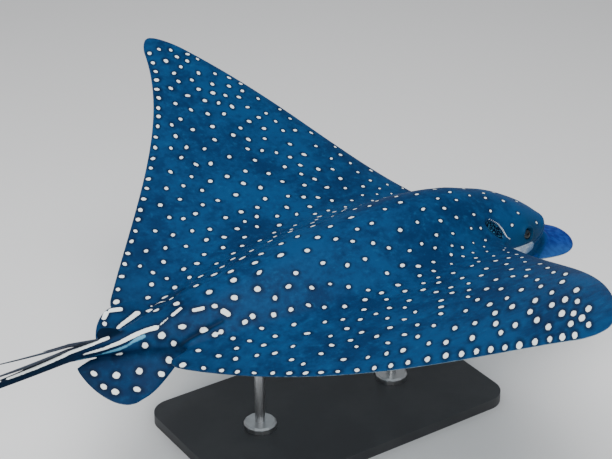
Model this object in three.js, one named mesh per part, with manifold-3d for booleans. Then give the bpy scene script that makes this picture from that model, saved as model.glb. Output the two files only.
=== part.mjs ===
// Spotted eagle ray, a life-size still model of an adult female on a display stand.
//
// Each shape is first drawn flat: x runs forward to the snout, u runs out along the wing from
// the midline (left positive) and h is the height over the wing's mid-surface. Then pose()
// raises and twists the wings, bends the tail and lifts the animal onto its stand. The posed
// shapes are joined, and parted again into named pieces by thin cuts.
// Millimetres, +X forward, +Y to the animal's left, +Z up, origin under the stand's base.

import * as THREE from 'three';
import { LoftGeometry } from 'three/addons/geometries/LoftGeometry.js';
import { mergeVertices } from 'three/addons/utils/BufferGeometryUtils.js';
import Module from 'manifold-3d';

const wasm = await Module();
wasm.setup();

// Driving dimensions of the animal
const discWidth = 1700;
const halfSpan = discWidth / 2;
const wingRoot = 110;          // half width of the head, where each leading edge starts
const tipSetBack = 350;        // how far the wing tip lies behind the leading edge's root
const tipChord = 58;
const leadingCurve = [0.86, -0.72, 0.86];     // share of the set-back by powers of the span
const trailingCurve = [1.17, 0.5, -0.67];
const tipRounding = { start: 0.94, power: 2.4 };
const rearCorner = { u: 86, x: -888, radius: 66 };
const notchX = -758;           // where the wing's free inner margin meets the trunk
const wingThickness = { root: 66, mid: 33, tip: 9, midSpan: 0.45 };
const marginThickness = 2.4;
const airfoil = { root: 2.969, powers: [-1.26, -3.516, 2.843, -1.036] };
const tailStart = -1010;
const tailLength = 3250;
const tailHeight = 23;         // of the tail's centre line over the wings' mid-surface, at its start
const tailRadius = { root: 13, whip: 7.5, tip: 2.2, whipStart: 0.06 };
const tailFlatness = 0.94;
const tailPieces = 5;
const lobe = {
  rear: 70, front: 268, halfWidth: 82, rootThickness: 44, tipThickness: 14, rootHeight: -48, tipHeight: -80,
  sideDroop: 16, straight: 0.35, roundness: 2.8, tipWidth: 0.12 };
const pelvic = {
  left: { front: -725, rear: -928, droop: -0.1, reach: 96, fullest: 1.25, fullness: 0.7, tipOut: 16, rearRoot: 20 },
  right: { front: -765, rear: -998, droop: 0.66, reach: 106, fullest: 1.8, fullness: 0.58, tipOut: 1, rearRoot: 10 },
  frontRoot: 60, height: -4, overlap: 14, thickness: 13, edge: 4, free: 0.6 };
const dorsal = {
  front: -878, rear: -938, root: 20, top: 60, thickness: 11, edge: 3, overhang: 8, sweep: 0.72 };
const spines = { width: 7, tip: 1.6, flatness: 0.7, aside: 9 };
const spineRows = [            // heights over the tail's centre line
  { root: -940, length: 122, height: 13, rise: 26 },
  { root: -958, length: 228, height: 13, rise: 30 },
  { root: -985, length: 220, height: 12, rise: 14 },
  { root: -1030, length: 165, height: 10, rise: 3 },
];
const eye = { radius: 16, x: 60, u: 94, h: 8 };

// Driving dimensions of the pose and the stand
const wingRaise = { root: 0.19, gain: 0.53, easing: -0.23 };   // slope in radians along the span
const wingTwist = { left: -0.14, right: 0.29 };              // radians at the tip
const twistAxis = -340;
const tailSweep = { yaw: 0.55, turn: -0.12, lift: 0.06, dip: -0.12, dipLength: 0.1 };
const bodyForward = 395;       // the wing roots lie this far ahead of the stand's centre
const bodyRise = 330;
const base = { length: 700, width: 400, thickness: 24, corner: 50 };
const rod = { radius: 11 };
const rods = {
  front: { x: -225, top: bodyRise - 50 },
  rear: { x: -575, top: bodyRise - 25 },
};
const flange = { radius: 36, height: 14, chamfer: 4 };
const gap = 0.35;              // between neighbouring pieces
const cutHeight = 480;
const tailRoot = -930;
const trunkSideLine = [        // x and half width of the trunk, where each wing is parted from it
  [0, 118], [-90, 138], [-200, 160], [-330, 170], [-480, 158],
  [-620, 126], [-740, 91], [-780, 83], [-840, 77]];

// How finely the curves are cut into facets
const spanSteps = 22;          // from the midline to each wing tip, closer together towards the tip
const spanCrowding = 1.25;
const chordSteps = 12;
const trunkRing = 16;
const trunkSteps = 3;          // between two rows of the trunk's table
const tailCount = 22;
const finRing = 12;
const spineRing = 6;
const roundSteps = 14;
const spanStep = 5;
const tailStep = 20;

const clamp = THREE.MathUtils.clamp;
const lerp = THREE.MathUtils.lerp;

// Sum of factors times rising powers of x, from the first power up
function polynomial(factors, x) {
  return factors.reduce((sum, factor, i) => sum + factor * x ** (i + 1), 0);
}

// Pose: from the flat shape to the real one

function spanFraction(u) {
  return clamp((Math.abs(u) - wingRoot) / (halfSpan - wingRoot), 0, 1);
}

function wingSlope(reach) {
  const s = spanFraction(reach);
  const rounding = Math.min(1, reach / wingRoot);
  return wingRaise.root * rounding + wingRaise.gain * s + wingRaise.easing * s ** 2;
}

const spanPath = [{ out: 0, up: 0 }];
for (let reach = 0; reach < halfSpan; reach += spanStep) {
  const slope = wingSlope(reach + spanStep / 2);
  const last = spanPath.at(-1);
  spanPath.push({ out: last.out + spanStep * Math.cos(slope), up: last.up + spanStep * Math.sin(slope) });
}

function poseWing(point) {
  const reach = Math.abs(point.y);
  const side = Math.sign(point.y);
  const s = spanFraction(reach);
  const twist = s * (side > 0 ? wingTwist.left : wingTwist.right);
  const behindAxis = point.x - twistAxis;
  const lift = behindAxis * Math.sin(twist) + point.z * Math.cos(twist);
  const slope = wingSlope(reach);
  const step = Math.min(Math.floor(reach / spanStep), spanPath.length - 2);
  const part = reach / spanStep - step;
  const out = lerp(spanPath[step].out, spanPath[step + 1].out, part);
  const up = lerp(spanPath[step].up, spanPath[step + 1].up, part);
  point.x = twistAxis + behindAxis * Math.cos(twist) - point.z * Math.sin(twist);
  point.y = side * (out - lift * Math.sin(slope));
  point.z = up + lift * Math.cos(slope);
}

const tailPath = [new THREE.Vector3(tailStart, 0, tailHeight)];

function tailDirection(along) {
  const t = along / tailLength;
  const yaw = tailSweep.yaw * Math.sin(Math.PI * t) * t + tailSweep.turn * t;
  const dip = tailSweep.dip * Math.exp(-t / tailSweep.dipLength);
  const pitch = tailSweep.lift * Math.sin(2 * Math.PI * t) + dip;
  const level = Math.cos(pitch);
  return new THREE.Vector3(-Math.cos(yaw) * level, Math.sin(yaw) * level, Math.sin(pitch));
}

for (let along = 0; along < tailLength; along += tailStep) {
  const next = tailPath.at(-1).clone().addScaledVector(tailDirection(along + tailStep / 2), tailStep);
  tailPath.push(next);
}

function poseTail(point) {
  const along = tailStart - point.x;
  const step = Math.min(Math.floor(along / tailStep), tailPath.length - 2);
  const centre = tailPath[step].clone().lerp(tailPath[step + 1], along / tailStep - step);
  const back = tailDirection(along);
  const left = back.clone().cross(new THREE.Vector3(0, 0, 1)).normalize();
  const up = left.clone().cross(back);
  point.copy(centre.addScaledVector(left, point.y).addScaledVector(up, point.z - tailHeight));
}

function pose(point) {
  if (point.x < tailStart) {
    poseTail(point);
  } else {
    poseWing(point);
  }
  point.x += bodyForward;
  point.z += bodyRise;
}

// Solids

function solidFrom(geometry, posed = true) {
  const bare = new THREE.BufferGeometry();
  bare.setAttribute('position', geometry.getAttribute('position'));
  bare.setIndex(geometry.getIndex());
  const merged = mergeVertices(bare, 1e-3);
  if (posed) {
    const positions = merged.getAttribute('position');
    const point = new THREE.Vector3();
    for (let i = 0; i < positions.count; i += 1) {
      point.fromBufferAttribute(positions, i);
      pose(point);
      positions.setXYZ(i, point.x, point.y, point.z);
    }
  }
  return new wasm.Manifold(new wasm.Mesh({
    numProp: 3,
    vertProperties: new Float32Array(merged.getAttribute('position').array),
    triVerts: new Uint32Array(merged.getIndex().array),
  }));
}

function loft(sections) {
  return solidFrom(new LoftGeometry(sections, { capStart: true, capEnd: true }));
}

function ring(count, place) {
  return Array.from({ length: count }, (_, i) => place((-i / count) * 2 * Math.PI));
}

// A ring in the plane across x. Fullness 0.5 is an ellipse; above 1 the edges feather out.
function crossSection(count, x, halfWidth, top, bottom, fullness = 0.5, centre = { u: 0, h: 0 }) {
  return ring(count, (angle) => {
    const across = Math.cos(angle);
    const height = (Math.sin(angle) > 0 ? top : bottom) * Math.sign(Math.sin(angle));
    const rise = height * Math.abs(1 - across ** 2) ** fullness;
    return new THREE.Vector3(x, centre.u + halfWidth * across, centre.h + rise);
  });
}

// Removes a neighbour from a piece, with the gap between them all round
function clearOf(piece, neighbour) {
  let cleared = piece;
  for (const axis of [0, 1, 2]) {
    for (const way of [-gap, gap]) {
      const shift = [0, 0, 0];
      shift[axis] = way;
      cleared = cleared.subtract(neighbour.translate(shift));
    }
  }
  return cleared;
}

function toMesh(name, solid, material) {
  const { vertProperties, triVerts } = solid.getMesh();
  const geometry = new THREE.BufferGeometry();
  geometry.setAttribute('position', new THREE.BufferAttribute(vertProperties, 3));
  geometry.setIndex(new THREE.BufferAttribute(triVerts, 1));
  geometry.computeVertexNormals();
  const mesh = new THREE.Mesh(geometry, material);
  mesh.name = name;
  return mesh;
}

// Disc: both wings as one loft from tip to tip

function leadingEdge(u) {
  const s = spanFraction(u);
  return -tipSetBack * polynomial(leadingCurve, s);
}

function trailingEdge(u) {
  const reach = Math.abs(u);
  const s = clamp((reach - rearCorner.u) / (halfSpan - rearCorner.u), 0, 1);
  const swept = lerp(rearCorner.x, -tipSetBack - tipChord, polynomial(trailingCurve, s));
  const inner = clamp((rearCorner.u + rearCorner.radius - reach) / rearCorner.radius, 0, 1);
  return lerp(swept, notchX, 1 - Math.sqrt(1 - inner ** 2));
}

function wingHalfThickness(u, chordFraction) {
  const s = spanFraction(u);
  const { root, mid, tip, midSpan } = wingThickness;
  const thickness = s < midSpan
    ? lerp(root, mid, s / midSpan)
    : lerp(mid, tip, (s - midSpan) / (1 - midSpan));
  const profile = airfoil.root * Math.sqrt(chordFraction) + polynomial(airfoil.powers, chordFraction);
  return (thickness * profile + marginThickness * Math.min(1, chordSteps * chordFraction)) / 2;
}

function discSection(u) {
  const tipShare = clamp((Math.abs(u) / halfSpan - tipRounding.start) / (1 - tipRounding.start), 0, 1);
  const rounding = Math.sqrt(1 - tipShare ** tipRounding.power);
  const middle = (leadingEdge(u) + trailingEdge(u)) / 2;
  const front = lerp(middle, leadingEdge(u), rounding);
  const rear = lerp(middle, trailingEdge(u), rounding);
  const side = (way) => Array.from({ length: chordSteps }, (_, i) => {
    const c = (1 - Math.cos((Math.PI * (i + (way > 0 ? 0 : 1))) / chordSteps)) / 2;
    return new THREE.Vector3(lerp(front, rear, c), u, way * rounding * wingHalfThickness(u, c));
  });
  return [...side(1), new THREE.Vector3(rear, u, rounding * wingHalfThickness(u, 1)), ...side(-1).reverse()];
}

const spanStations = [];
const lastStation = 0.998 * halfSpan;
for (let i = spanSteps; i >= -spanSteps; i -= 1) {
  spanStations.push(lastStation * Math.sin((i / spanSteps) * spanCrowding) / Math.sin(spanCrowding));
}
const disc = loft(spanStations.map(discSection));

// Head, trunk and tail as one loft. Each row: station, half width, back, belly, fullness and
// the height of the section's centre.

const trunkSections = [
  [172, 16, -12, 40, 0.5, 0],
  [165, 42, 6, 50, 0.5, 0],
  [142, 70, 28, 60, 0.5, 0],
  [100, 92, 54, 68, 0.5, 0],
  [45, 106, 82, 72, 0.5, 0],
  [-20, 117, 105, 74, 0.55, 0],
  [-90, 146, 125, 77, 0.75, 0],
  [-200, 205, 136, 79, 1.3, 0],
  [-330, 232, 128, 76, 1.7, 0],
  [-480, 215, 110, 67, 1.6, 0],
  [-620, 165, 84, 54, 1.3, 0],
  [-740, 104, 56, 41, 0.95, 1],
  [-820, 62, 38, 30, 0.7, 5],
  [-890, 32, 25, 22, 0.52, 12],
  [-945, 19, 18, 17, 0.5, 19],
  [tailStart, tailRadius.root, tailRadius.root, tailRadius.root, 0.5, tailHeight],
];
const trunkCurves = [0, 1, 2, 3, 4, 5].map((column) => (
  new THREE.SplineCurve(trunkSections.map((row, i) => new THREE.Vector2(i, row[column])))));

function trunkSection(share) {
  const [x, halfWidth, back, belly, fullness, h] = trunkCurves.map((curve) => curve.getPoint(share).y);
  return crossSection(trunkRing, x, halfWidth, back, belly, fullness, { u: 0, h });
}

function tailSection(share) {
  const early = Math.min(1, share / tailRadius.whipStart);
  const late = Math.max(0, share - tailRadius.whipStart) / (1 - tailRadius.whipStart);
  const radius = late > 0
    ? lerp(tailRadius.whip, tailRadius.tip, late ** 0.8)
    : lerp(tailRadius.root, tailRadius.whip, 1 - (1 - early) ** 1.5);
  const half = radius * tailFlatness;
  const centre = { u: 0, h: tailHeight };
  return crossSection(trunkRing, tailStart - tailLength * share, radius, half, half, 0.5, centre);
}

const bodySections = [];
const trunkCount = (trunkSections.length - 1) * trunkSteps;
for (let i = 0; i <= trunkCount; i += 1) {
  bodySections.push(trunkSection(i / trunkCount));
}
for (let i = 1; i <= tailCount; i += 1) {
  bodySections.push(tailSection(i / tailCount));
}
const spindle = loft(bodySections);

// Rostral lobe: a flat, rounded bill under the snout, its sides turned down

function lobeSection(share) {
  const x = lerp(lobe.rear, lobe.front, share);
  const round = Math.max(0, (share - lobe.straight) / (1 - lobe.straight));
  const halfWidth = lobe.halfWidth * Math.max(lobe.tipWidth, Math.sqrt(1 - round ** lobe.roundness));
  const half = lerp(lobe.rootThickness, lobe.tipThickness, share) / 2;
  const centre = { u: 0, h: lerp(lobe.rootHeight, lobe.tipHeight, share) };
  const points = crossSection(trunkRing, x, halfWidth, half, half, 0.5, centre);
  points.forEach((point) => { point.z -= lobe.sideDroop * (point.y / lobe.halfWidth) ** 2; });
  return points;
}

const lobeShares = [1, 0.97, 0.91, 0.82, 0.7, 0.55, 0.35, 0];
const rostralLobe = loft(lobeShares.map(lobeSection));

// Pelvic fins: rounded paddles that droop from the rear of the trunk

function pelvicSection(share, side) {
  const { front, rear, droop, reach, fullest, fullness, tipOut, rearRoot } = side > 0 ? pelvic.left : pelvic.right;
  const x = lerp(front, rear, share);
  const outer = tipOut * share + reach * Math.sin(Math.PI * share ** fullest) ** fullness;
  const free = Math.max(0, (share - pelvic.free) / (1 - pelvic.free));
  const inner = lerp(-pelvic.overlap, tipOut, free ** 2);
  const root = lerp(pelvic.frontRoot, rearRoot, Math.min(1, share / pelvic.free));
  const halfThickness = lerp(pelvic.thickness, pelvic.edge, share) / 2;
  const points = ring(finRing, (angle) => {
    const out = lerp(inner, outer, (1 + Math.cos(angle)) / 2);
    const up = halfThickness * Math.sin(angle);
    const u = root + out * Math.cos(droop) + up * Math.sin(droop);
    const h = pelvic.height - out * Math.sin(droop) + up * Math.cos(droop);
    return new THREE.Vector3(x, side * u, h);
  });
  return side > 0 ? points : points.reverse();
}

const finShares = [0.005, 0.05, 0.13, 0.26, 0.4, 0.55, 0.7, 0.82, 0.91, 0.965, 0.995];

function pelvicFin(side) {
  return loft(finShares.map((share) => pelvicSection(share, side)));
}

// Dorsal fin: small and swept back, just ahead of the spines

function dorsalSection(share) {
  const h = lerp(dorsal.root, dorsal.top, share);
  const front = lerp(dorsal.front, dorsal.rear, dorsal.sweep * share ** 1.4);
  const rear = dorsal.rear - dorsal.overhang * Math.sin(2 * share);
  const halfThickness = lerp(dorsal.thickness, dorsal.edge, share) / 2;
  return ring(finRing, (angle) => new THREE.Vector3(
    lerp(front, rear, (1 + Math.cos(angle)) / 2), halfThickness * Math.sin(angle), h));
}

const dorsalShares = [0, 0.2, 0.4, 0.6, 0.8, 0.92, 1];
const dorsalBlade = loft(dorsalShares.map(dorsalSection));

// Tail spines: long barbs rooted one behind another behind the dorsal fin

const spineShares = [0, 0.15, 0.4, 0.65, 0.85, 1];

function spine({ root, length, height, rise }, i) {
  const aside = spines.aside * (i % 2 ? 1 : -1);
  return loft(spineShares.map((share) => {
    const halfWidth = lerp(spines.width, spines.tip, share ** 1.3) / 2;
    const half = halfWidth * spines.flatness;
    const h = tailHeight + height + rise * share;
    const centre = { u: aside * share, h };
    return crossSection(spineRing, root - length * share, halfWidth, half, half, 0.5, centre);
  }));
}

// Cuts that part the body: across the neck, along each side of the trunk and across the tail

function neckCut() {
  const geometry = new THREE.BoxGeometry(gap, 2 * trunkSideLine[0][1], cutHeight);
  geometry.translate(bodyForward, 0, bodyRise);
  return solidFrom(geometry, false);
}

function trunkSideCut(side) {
  const line = new THREE.SplineCurve(trunkSideLine.map(([x, u]) => new THREE.Vector2(x, side * u)));
  const inner = line.getPoints(24);
  const outer = inner.map((point) => new THREE.Vector2(point.x, point.y + side * gap));
  const shape = new THREE.Shape([...inner, ...outer.reverse()]);
  const geometry = new THREE.ExtrudeGeometry(shape, { depth: cutHeight, bevelEnabled: false });
  geometry.translate(bodyForward, 0, bodyRise - cutHeight / 2);
  return solidFrom(mergeVertices(geometry), false);
}

function tailCut(x) {
  const geometry = new THREE.BoxGeometry(gap, cutHeight / 4, cutHeight / 4);
  geometry.translate(x, 0, tailHeight);
  return solidFrom(geometry);
}

const tailCuts = [tailRoot];
for (let i = 1; i < tailPieces; i += 1) {
  tailCuts.push(tailStart - (tailLength * i) / tailPieces);
}
const cuts = [neckCut(), trunkSideCut(1), trunkSideCut(-1), ...tailCuts.map(tailCut)];
const body = cuts.reduce((rest, cut) => rest.subtract(cut), disc.add(spindle));

// The parted pieces: two wings, and the pieces along the midline in order from the head back

function middle(piece) {
  const { min, max } = piece.boundingBox();
  return { x: (min[0] + max[0]) / 2, y: (min[1] + max[1]) / 2 };
}

const pieces = body.decompose();
const isWing = (piece) => piece.boundingBox().max[0] > 0 && Math.abs(middle(piece).y) > wingRoot;
const wings = pieces.filter(isWing);
const wingLeft = wings.find((piece) => middle(piece).y > 0);
const wingRight = wings.find((piece) => middle(piece).y < 0);
const midline = pieces.filter((piece) => !isWing(piece)).sort((a, b) => middle(b).x - middle(a).x);
const [headPiece, trunkPiece, tailFirst, ...tailRest] = midline;

// Eyes, in sockets of the head

function eyeBall(side, radius) {
  const geometry = new THREE.SphereGeometry(radius, roundSteps, roundSteps / 2);
  geometry.rotateX(Math.PI / 2);
  geometry.translate(eye.x, side * eye.u, eye.h);
  return solidFrom(geometry);
}

const head = [-1, 1].reduce((rest, side) => rest.subtract(eyeBall(side, eye.radius + gap)), headPiece);

// Stand: a flat base and two rods that enter the belly

function standBase() {
  const { length, width, thickness, corner } = base;
  const shape = new THREE.Shape();
  const [x, y] = [length / 2 - corner, width / 2 - corner];
  shape.absarc(x, y, corner, 0, Math.PI / 2);
  shape.absarc(-x, y, corner, Math.PI / 2, Math.PI);
  shape.absarc(-x, -y, corner, Math.PI, 1.5 * Math.PI);
  shape.absarc(x, -y, corner, 1.5 * Math.PI, 2 * Math.PI);
  return solidFrom(mergeVertices(new THREE.ExtrudeGeometry(shape, {
    depth: thickness, bevelEnabled: false, curveSegments: 6 })), false);
}

function standRod({ x, top }) {
  const foot = base.thickness + gap;
  const profile = [
    [0, foot], [flange.radius, foot], [flange.radius, foot + flange.height - flange.chamfer],
    [flange.radius - flange.chamfer, foot + flange.height], [rod.radius, foot + flange.height],
    [rod.radius, top], [0, top]];
  const geometry = new THREE.LatheGeometry(profile.map(([r, z]) => new THREE.Vector2(r, z)), roundSteps);
  geometry.rotateX(Math.PI / 2);
  geometry.translate(bodyForward + x, 0, 0);
  return solidFrom(geometry, false);
}

function rodHole({ x, top }) {
  const radius = rod.radius + gap;
  const geometry = new THREE.CylinderGeometry(radius, radius, 2 * (top + gap), roundSteps);
  geometry.rotateX(Math.PI / 2);
  geometry.translate(bodyForward + x, 0, 0);
  return solidFrom(geometry, false);
}

const trunk = trunkPiece.subtract(rodHole(rods.front)).subtract(rodHole(rods.rear));

// What grows from the body is fitted against it

const lobePiece = clearOf(rostralLobe, head);
const fitFin = (fin, wing) => clearOf(clearOf(clearOf(fin, trunk), wing), tailFirst);
const pelvicLeft = fitFin(pelvicFin(1), wingLeft);
const pelvicRight = fitFin(pelvicFin(-1), wingRight);
const tailWithSpines = spineRows.map(spine).reduce((tail, barb) => tail.add(barb), tailFirst);
const dorsalFin = clearOf(clearOf(dorsalBlade, trunk), tailWithSpines);

// The finished model

const skin = new THREE.MeshStandardMaterial({ color: 0x14324c, roughness: 0.45, metalness: 0 });
const lobeSkin = new THREE.MeshStandardMaterial({ color: 0x3c5f86, roughness: 0.4, metalness: 0 });
const eyeBlack = new THREE.MeshStandardMaterial({ color: 0x06080b, roughness: 0.08, metalness: 0 });
const paintedSteel = new THREE.MeshStandardMaterial({ color: 0x2b2d30, roughness: 0.5, metalness: 0.3 });
const brushedSteel = new THREE.MeshStandardMaterial({ color: 0xa8abae, roughness: 0.3, metalness: 1 });

const ray = new THREE.Group();
const add = (name, solid, material) => ray.add(toMesh(name, solid, material));
add('head', head, skin);
add('rostral_lobe', lobePiece, lobeSkin);
add('eye_left', eyeBall(1, eye.radius), eyeBlack);
add('eye_right', eyeBall(-1, eye.radius), eyeBlack);
add('trunk', trunk, skin);
add('wing_left', wingLeft, skin);
add('wing_right', wingRight, skin);
add('pelvic_fin_left', pelvicLeft, skin);
add('pelvic_fin_right', pelvicRight, skin);
add('dorsal_fin', dorsalFin, skin);
[tailWithSpines, ...tailRest].forEach((length, i) => add(`tail_${i + 1}`, length, skin));
add('stand_base', standBase(), paintedSteel);
add('stand_rod_front', standRod(rods.front), brushedSteel);
add('stand_rod_rear', standRod(rods.rear), brushedSteel);

export default ray;
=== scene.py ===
import math

import bmesh
import bpy
import numpy as np
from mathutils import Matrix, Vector
from mathutils.bvhtree import BVHTree
from mathutils.kdtree import KDTree


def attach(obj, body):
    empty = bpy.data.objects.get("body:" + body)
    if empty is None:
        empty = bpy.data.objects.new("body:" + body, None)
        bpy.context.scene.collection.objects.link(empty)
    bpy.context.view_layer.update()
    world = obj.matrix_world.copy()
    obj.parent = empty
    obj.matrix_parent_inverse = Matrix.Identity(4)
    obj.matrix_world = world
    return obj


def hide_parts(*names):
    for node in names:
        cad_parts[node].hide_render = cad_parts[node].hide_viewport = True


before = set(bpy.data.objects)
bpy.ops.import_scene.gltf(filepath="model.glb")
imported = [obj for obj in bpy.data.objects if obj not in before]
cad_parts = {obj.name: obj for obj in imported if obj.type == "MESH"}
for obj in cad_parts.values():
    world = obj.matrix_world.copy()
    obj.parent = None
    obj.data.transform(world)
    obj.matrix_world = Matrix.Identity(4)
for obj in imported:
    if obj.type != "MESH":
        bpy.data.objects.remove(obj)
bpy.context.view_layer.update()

# --------------------
# The pose of the cast. Every shape is first made flat: x runs forward to the snout, u out along
# the wing (left positive) and h up, in metres. pose() then raises and twists the wings, bends
# the tail and lifts the animal onto its stand.

half_span = 0.85
wing_root = 0.11
tail_start = -1.01
tail_length = 3.25
tail_height = 0.023
wing_raise = {"root": 0.19, "gain": 0.53, "easing": -0.23}
wing_twist = {"left": -0.14, "right": 0.29}
twist_axis = -0.34
tail_sweep = {"yaw": 0.55, "turn": -0.12, "lift": 0.06, "dip": -0.12, "dip_length": 0.1}
body_forward = 0.395
body_rise = 0.33


def ease(x, low, high):
    t = np.clip((x - low) / (high - low), 0, 1)
    return t * t * (3 - 2 * t)


def span_fraction(u):
    return np.clip((np.abs(u) - wing_root) / (half_span - wing_root), 0, 1)


def wing_slope(reach):
    s = span_fraction(reach)
    rounding = np.minimum(1, reach / wing_root)
    return wing_raise["root"] * rounding + wing_raise["gain"] * s + wing_raise["easing"] * s**2


span_reach = np.linspace(0, half_span, 171)
span_step = span_reach[1]
step_slope = wing_slope(span_reach[:-1] + span_step / 2)
span_out = np.concatenate([[0], np.cumsum(span_step * np.cos(step_slope))])
span_up = np.concatenate([[0], np.cumsum(span_step * np.sin(step_slope))])


def pose_wing(co):
    x, u, h = co.T
    reach = np.abs(u)
    twist = span_fraction(u) * np.where(u > 0, wing_twist["left"], wing_twist["right"])
    behind = x - twist_axis
    lift = behind * np.sin(twist) + h * np.cos(twist)
    slope = wing_slope(reach)
    out = np.interp(reach, span_reach, span_out) - lift * np.sin(slope)
    up = np.interp(reach, span_reach, span_up) + lift * np.cos(slope)
    return np.stack([twist_axis + behind * np.cos(twist) - h * np.sin(twist), np.sign(u) * out, up], 1)


def tail_direction(along):
    t = along / tail_length
    yaw = tail_sweep["yaw"] * np.sin(np.pi * t) * t + tail_sweep["turn"] * t
    dip = tail_sweep["dip"] * np.exp(-t / tail_sweep["dip_length"])
    pitch = tail_sweep["lift"] * np.sin(2 * np.pi * t) + dip
    level = np.cos(pitch)
    return np.stack([-np.cos(yaw) * level, np.sin(yaw) * level, np.sin(pitch)], -1)


tail_along = np.arange(0, tail_length + 0.1, 0.02)
tail_middle = tail_along[:-1] + tail_along[1] / 2
tail_path = np.concatenate([np.zeros((1, 3)), np.cumsum(tail_direction(tail_middle) * tail_along[1], 0)])
tail_path += [tail_start, 0, tail_height]


def pose_tail(co):
    along = tail_start - co[:, 0]
    centre = np.stack([np.interp(along, tail_along, column) for column in tail_path.T], 1)
    back = tail_direction(along)
    left = np.cross(back, [0, 0, 1])
    left /= np.linalg.norm(left, axis=1)[:, None]
    up = np.cross(left, back)
    return centre + left * co[:, 1:2] + up * (co[:, 2:3] - tail_height)


def pose(co):
    on_tail = co[:, 0] < tail_start
    posed = pose_wing(co)
    posed[on_tail] = pose_tail(co[on_tail])
    return posed + [body_forward, 0, body_rise]


# --------------------
# The skin's first shapes. Each is a grid rolled into a tube and closed at its ends: the disc of
# both wings, the trunk with its head and tail, the bill under the snout, and the small fins.


def points_of(bm):
    return np.array([v.co for v in bm.verts], float).reshape(-1, 3)


def move_to(bm, co):
    for v, p in zip(bm.verts, co):
        v.co = p


def rolled(along, around, place):
    bm = bmesh.new()
    bmesh.ops.create_grid(bm, x_segments=along, y_segments=around, size=0.5)
    flat = points_of(bm) + 0.5
    move_to(bm, place(flat[:, 0], flat[:, 1]))
    bmesh.ops.remove_doubles(bm, verts=bm.verts, dist=1e-6)
    bmesh.ops.holes_fill(bm, edges=[e for e in bm.edges if e.is_boundary])
    bmesh.ops.recalc_face_normals(bm, faces=bm.faces)
    return bm


def power_sum(factors, x):
    return sum(factor * x ** (i + 1) for i, factor in enumerate(factors))


def mix(a, b, share):
    return a + (b - a) * share


def beyond(x, start):
    """0 up to the start, then rising evenly to 1 at 1."""
    return np.clip((x - start) / (1 - start), 0, 1)


tip_set_back = 0.35
tip_chord = 0.058
leading_curve = (0.86, -0.72, 0.86)
trailing_curve = (1.17, 0.5, -0.67)
corner = {"u": 0.086, "x": -0.888, "radius": 0.066}
notch_x = -0.758
wing_thickness = {"root": 0.066, "mid": 0.033, "tip": 0.009, "mid_span": 0.45}
margin_thickness = 0.0024
margin_rise, margin_close = 12, 0.006
airfoil = {"root": 2.969, "powers": (-1.26, -3.516, 2.843, -1.036)}
tip_rounding = {"start": 0.94, "power": 2.4}


def leading_edge(u):
    return -tip_set_back * power_sum(leading_curve, span_fraction(u))


def trailing_edge(u):
    reach = np.abs(u)
    s = np.clip((reach - corner["u"]) / (half_span - corner["u"]), 0, 1)
    swept = mix(corner["x"], -tip_set_back - tip_chord, power_sum(trailing_curve, s))
    inner = np.clip((corner["u"] + corner["radius"] - reach) / corner["radius"], 0, 1)
    return mix(swept, notch_x, 1 - np.sqrt(1 - inner**2))


def wing_half_thickness(u, chord):
    s = span_fraction(u)
    t = wing_thickness
    inner = mix(t["root"], t["mid"], s / t["mid_span"])
    outer = mix(t["mid"], t["tip"], beyond(s, t["mid_span"]))
    profile = airfoil["root"] * np.sqrt(chord) + power_sum(airfoil["powers"], chord)
    edge = margin_thickness * np.minimum(1, margin_rise * chord)
    edge *= np.sqrt(np.clip((1 - chord) / margin_close, 0, 1))
    return (np.where(s < t["mid_span"], inner, outer) * profile + edge) / 2


span_crowding = 1.25


def disc_place(share, turn):
    u = half_span * 0.9995 * np.sin((1 - 2 * share) * span_crowding) / math.sin(span_crowding)
    under = turn > 0.5
    t = np.where(under, 2 - 2 * turn, 2 * turn)
    chord = 0.5 * t + 0.5 * (1 - np.cos(np.pi * t)) / 2
    rounding = np.sqrt(1 - beyond(np.abs(u) / half_span, tip_rounding["start"]) ** tip_rounding["power"])
    middle = (leading_edge(u) + trailing_edge(u)) / 2
    front = mix(middle, leading_edge(u), rounding)
    rear = mix(middle, trailing_edge(u), rounding)
    h = np.where(under, -1, 1) * rounding * wing_half_thickness(u, chord)
    return np.stack([mix(front, rear, chord), u, h], 1)


disc = rolled(230, 168, disc_place)

# The trunk from snout to tail root: station, half width, back, belly, fullness of the section and
# the height of its centre.
trunk_rows = np.array([
    (0.1745, 0.002, -0.022, 0.030, 0.5, 0),
    (0.172, 0.016, -0.012, 0.040, 0.5, 0),
    (0.165, 0.042, 0.006, 0.050, 0.5, 0),
    (0.142, 0.070, 0.028, 0.060, 0.5, 0),
    (0.100, 0.092, 0.054, 0.068, 0.5, 0),
    (0.045, 0.106, 0.082, 0.072, 0.5, 0),
    (-0.020, 0.117, 0.105, 0.074, 0.55, 0),
    (-0.090, 0.146, 0.125, 0.077, 0.75, 0),
    (-0.200, 0.205, 0.136, 0.079, 1.3, 0),
    (-0.330, 0.232, 0.128, 0.076, 1.7, 0),
    (-0.480, 0.215, 0.110, 0.067, 1.6, 0),
    (-0.620, 0.165, 0.084, 0.054, 1.3, 0),
    (-0.740, 0.104, 0.056, 0.041, 0.95, 0.001),
    (-0.820, 0.062, 0.038, 0.030, 0.7, 0.005),
    (-0.890, 0.032, 0.025, 0.022, 0.52, 0.012),
    (-0.945, 0.019, 0.018, 0.017, 0.5, 0.019),
    (-1.010, 0.013, 0.013, 0.013, 0.5, tail_height),
])


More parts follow.
